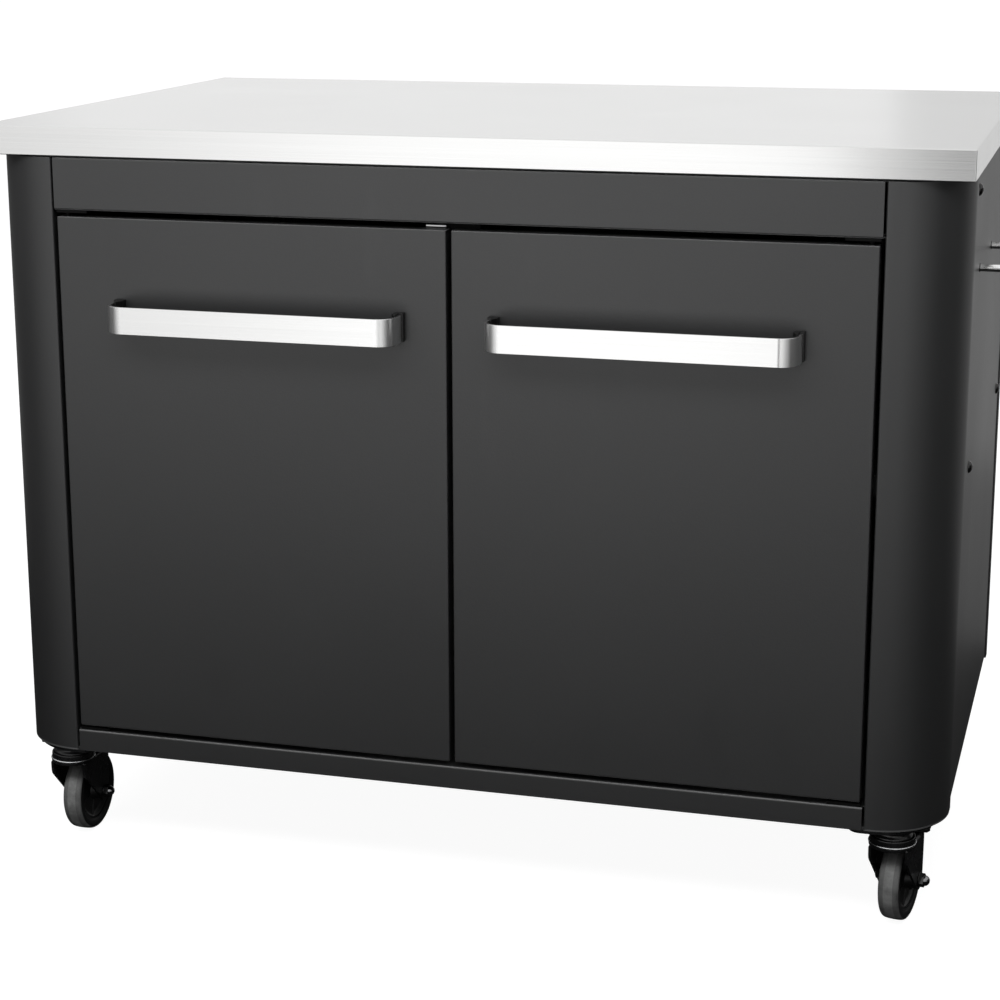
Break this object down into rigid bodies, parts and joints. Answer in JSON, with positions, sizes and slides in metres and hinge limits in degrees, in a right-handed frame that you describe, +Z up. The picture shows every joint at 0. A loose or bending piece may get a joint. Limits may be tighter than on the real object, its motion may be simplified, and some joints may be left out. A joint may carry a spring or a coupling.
{
  "type": "outdoor kitchen unit",
  "caption": "Steel outdoor kitchen cabinet with a flat steel worktop, two hinged doors with bar handles, an inner shelf, a side bar and swivel casters with brakes.",
  "frame": {"origin": "on the floor under the middle of the whole object's bounding box", "axes": "+X to the right seen from the doors, +Y from the doors to the back, +Z up"},
  "size_m": [1.2044, 0.846, 0.9],
  "materials": {
    "black_powder_coat": "satin fine-textured powder coat",
    "inner_powder_coat": "satin powder coat",
    "brushed_steel": "brushed along the length",
    "zinc_plate": "bright zinc plate",
    "black_rubber": "matte",
    "black_plastic": "matte",
    "black_steel": "semi-gloss black",
    "grey_tyre": "matte grey rubber"
  },
  "bodies": {
    "cabinet": {"post_front_left": "black_powder_coat", "post_front_right": "black_powder_coat", "post_rear_left": "black_powder_coat", "post_rear_right": "black_powder_coat", "top_rail_front": "black_powder_coat", "bottom_rail_front": "black_powder_coat", "side_panel_left": "black_powder_coat", "side_panel_right": "black_powder_coat", "back_panel": "inner_powder_coat", "floor_pan": "inner_powder_coat", "shelf": "inner_powder_coat", "shelf_bracket_left": "zinc_plate", "shelf_bracket_right": "zinc_plate", "worktop": "brushed_steel", "worktop_stiffener": "zinc_plate", "worktop_gasket": "black_rubber", "side_bar": "brushed_steel", "hinge_lower_left": "black_steel", "hinge_upper_left": "black_steel", "hinge_lower_right": "black_steel", "hinge_upper_right": "black_steel", "door_magnet": "black_plastic", "caster_plate_front_left": "black_steel", "caster_plate_front_right": "black_steel", "caster_plate_rear_left": "black_steel", "caster_plate_rear_right": "black_steel"},
    "door_left": {"door_skin_left": "black_powder_coat", "door_liner_left": "inner_powder_coat", "handle_left": "brushed_steel", "handle_foot_left_left": "black_plastic", "handle_foot_left_right": "black_plastic", "strike_left": "zinc_plate"},
    "door_right": {"door_skin_right": "black_powder_coat", "door_liner_right": "inner_powder_coat", "handle_right": "brushed_steel", "handle_foot_right_left": "black_plastic", "handle_foot_right_right": "black_plastic", "strike_right": "zinc_plate"},
    "swivel_front_left": {"fork_front_left": "black_steel", "caster_ring_front_left": "zinc_plate", "axle_front_left": "black_steel"},
    "wheel_front_left": {"tyre_front_left": "grey_tyre", "hub_front_left": "black_plastic"},
    "brake_front_left": {"brake_front_left": "black_steel"},
    "swivel_front_right": {"fork_front_right": "black_steel", "caster_ring_front_right": "zinc_plate", "axle_front_right": "black_steel"},
    "wheel_front_right": {"tyre_front_right": "grey_tyre", "hub_front_right": "black_plastic"},
    "brake_front_right": {"brake_front_right": "black_steel"},
    "swivel_rear_left": {"fork_rear_left": "black_steel", "caster_ring_rear_left": "zinc_plate", "axle_rear_left": "black_steel"},
    "wheel_rear_left": {"tyre_rear_left": "grey_tyre", "hub_rear_left": "black_plastic"},
    "swivel_rear_right": {"fork_rear_right": "black_steel", "caster_ring_rear_right": "zinc_plate", "axle_rear_right": "black_steel"},
    "wheel_rear_right": {"tyre_rear_right": "grey_tyre", "hub_rear_right": "black_plastic"}
  },
  "joints": [
    {"name": "door_left_hinge", "type": "hinge", "parent": "cabinet", "child": "door_left", "pos_m": [-0.49597, -0.36796, 0.482], "axis": [0, 0, -1], "range_deg": [0, 110]},
    {"name": "door_right_hinge", "type": "hinge", "parent": "cabinet", "child": "door_right", "pos_m": [0.43883, -0.36796, 0.482], "axis": [0, 0, 1], "range_deg": [0, 110]},
    {"name": "swivel_front_left", "type": "hinge", "parent": "cabinet", "child": "swivel_front_left", "pos_m": [-0.53968, -0.33466, 0.106], "axis": [0, 0, 1], "continuous": true},
    {"name": "wheel_spin_front_left", "type": "hinge", "parent": "swivel_front_left", "child": "wheel_front_left", "pos_m": [-0.53901, -0.29667, 0.05], "axis": [0.9998, -0.0175, 0], "continuous": true},
    {"name": "brake_pedal_front_left", "type": "hinge", "parent": "swivel_front_left", "child": "brake_front_left", "pos_m": [-0.53891, -0.29067, 0.107], "axis": [-0.9998, 0.0175, 0], "range_deg": [0, 9]},
    {"name": "swivel_front_right", "type": "hinge", "parent": "cabinet", "child": "swivel_front_right", "pos_m": [0.48252, -0.33466, 0.106], "axis": [0, 0, 1], "continuous": true},
    {"name": "wheel_spin_front_right", "type": "hinge", "parent": "swivel_front_right", "child": "wheel_front_right", "pos_m": [0.48958, -0.29732, 0.05], "axis": [0.9826, -0.1857, 0], "continuous": true},
    {"name": "brake_pedal_front_right", "type": "hinge", "parent": "swivel_front_right", "child": "brake_front_right", "pos_m": [0.49069, -0.29143, 0.107], "axis": [-0.9826, 0.1857, 0], "range_deg": [0, 9]},
    {"name": "swivel_rear_left", "type": "hinge", "parent": "cabinet", "child": "swivel_rear_left", "pos_m": [-0.53968, 0.33474, 0.106], "axis": [0, 0, 1], "continuous": true},
    {"name": "wheel_spin_rear_left", "type": "hinge", "parent": "swivel_rear_left", "child": "wheel_rear_left", "pos_m": [-0.54365, 0.37253, 0.05], "axis": [0.9945, 0.1045, 0], "continuous": true},
    {"name": "swivel_rear_right", "type": "hinge", "parent": "cabinet", "child": "swivel_rear_right", "pos_m": [0.48252, 0.33474, 0.106], "axis": [0, 0, 1], "continuous": true},
    {"name": "wheel_spin_rear_right", "type": "hinge", "parent": "swivel_rear_right", "child": "wheel_rear_right", "pos_m": [0.48584, 0.37259, 0.05], "axis": [0.9962, -0.0872, 0], "continuous": true}
  ]
}
